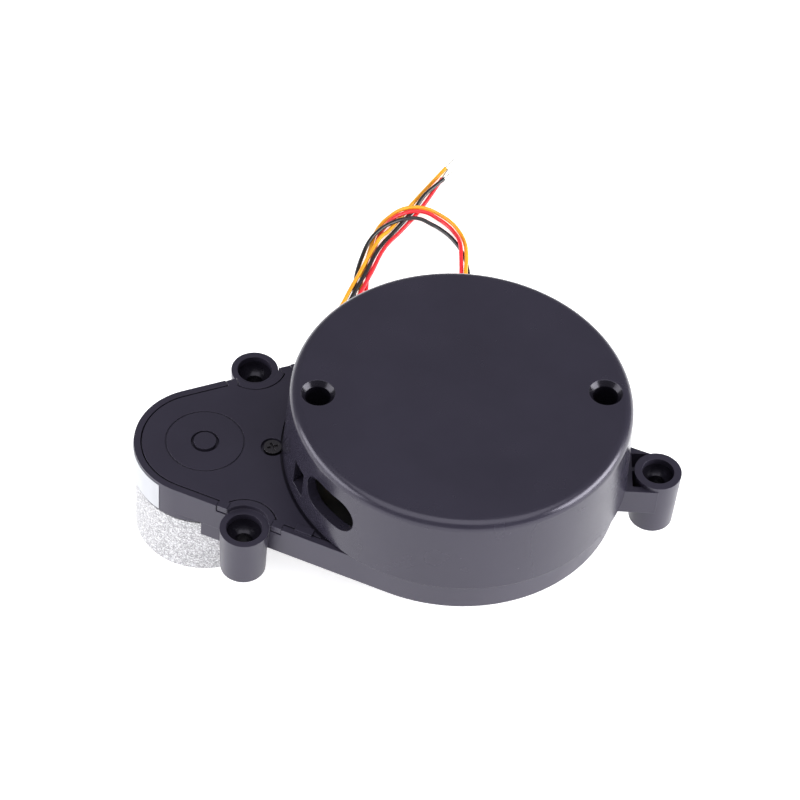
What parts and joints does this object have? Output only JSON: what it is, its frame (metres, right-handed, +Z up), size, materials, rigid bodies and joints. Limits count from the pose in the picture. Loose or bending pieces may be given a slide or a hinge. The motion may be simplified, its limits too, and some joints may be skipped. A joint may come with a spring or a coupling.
{
  "type": "scanning range finder",
  "caption": "Flat round scanning turret turned by a belt from a small motor beside it, on a teardrop housing with three screw bosses and a short lead of thin wires.",
  "frame": {"origin": "on the turret's axis at the standing plane under the central tub", "axes": "+X from the motor end towards the single mounting arm, +Y towards the wires' side, +Z up along the turret's axis"},
  "size_m": [0.1069, 0.141, 0.0406],
  "materials": {
    "housing_plastic": "fine satin moulded ABS",
    "turret_plastic": "smooth satin moulded ABS",
    "inner_plastic": "matt moulded nylon",
    "black_screw": "black oxide",
    "steel": "machined",
    "sleeve_zinc": "grainy zinc plate",
    "magnet_black": "sintered",
    "copper_wire": "enamelled winding",
    "brass": "turned",
    "belt_rubber": "matt",
    "grommet_rubber": "matt",
    "lead_red": "soft insulation",
    "board_green": "solder mask",
    "chip_black": "moulded epoxy",
    "cream_plastic": "moulded",
    "infrared_dark": "smoked epoxy",
    "label_white": "smooth film",
    "barrel_black": "anodised",
    "lens_glass": "coated",
    "wire_yellow": "soft vinyl",
    "wire_red": "soft vinyl",
    "wire_black": "soft vinyl",
    "tinned_copper": "tinned strands"
  },
  "bodies": {
    "housing": {"base_housing": "housing_plastic", "central_tub": "housing_plastic", "belt_cover": "housing_plastic", "cover_screw": "black_screw", "bottom_cover": "inner_plastic", "bottom_screws": "black_screw", "motor_sleeve": "sleeve_zinc", "motor_can": "steel", "motor_end_cap": "cream_plastic", "motor_magnets": "magnet_black", "motor_leads": "lead_red", "motor_screws": "steel", "drive_belt": "belt_rubber", "main_board": "board_green", "main_chips": "chip_black", "wire_socket": "cream_plastic", "wire_grommet": "grommet_rubber", "coil_board": "board_green", "lower_coil": "copper_wire", "ir_emitter": "infrared_dark", "bearing_inner_race": "steel", "speed_sensor": "chip_black", "end_label": "label_white", "wire_yellow": "wire_yellow", "wire_red": "wire_red", "wire_black": "wire_black", "strand_yellow": "tinned_copper", "strand_red": "tinned_copper", "strand_black": "tinned_copper"},
    "turret": {"turret_cap": "turret_plastic", "turret_screws": "black_screw", "turret_hub": "inner_plastic", "bearing_outer_race": "steel", "bearing_balls": "steel", "bearing_cage": "cream_plastic", "slotted_ring": "inner_plastic", "turret_board": "board_green", "turret_chips": "chip_black", "optical_frame": "inner_plastic", "laser_module": "brass", "lens_barrel": "barrel_black", "receiver_lens": "lens_glass", "sensor_board": "board_green", "image_sensor": "chip_black", "upper_coil": "copper_wire", "ir_receiver": "infrared_dark", "balance_weight": "steel"},
    "motor_rotor": {"motor_shaft": "steel", "motor_armature": "copper_wire", "motor_pulley": "brass"}
  },
  "joints": [
    {"name": "turret_spin", "type": "hinge", "parent": "housing", "child": "turret", "pos_m": [0, 0, 0.0206], "axis": [0, 0, 1], "continuous": true},
    {"name": "motor_spin", "type": "hinge", "parent": "housing", "child": "motor_rotor", "pos_m": [-0.0489, 0, 0.0106], "axis": [0, 0, 1], "continuous": true}
  ],
  "couplings": [
    {"joint": "motor_spin", "follows": "turret_spin", "ratio": 7.3056}
  ]
}
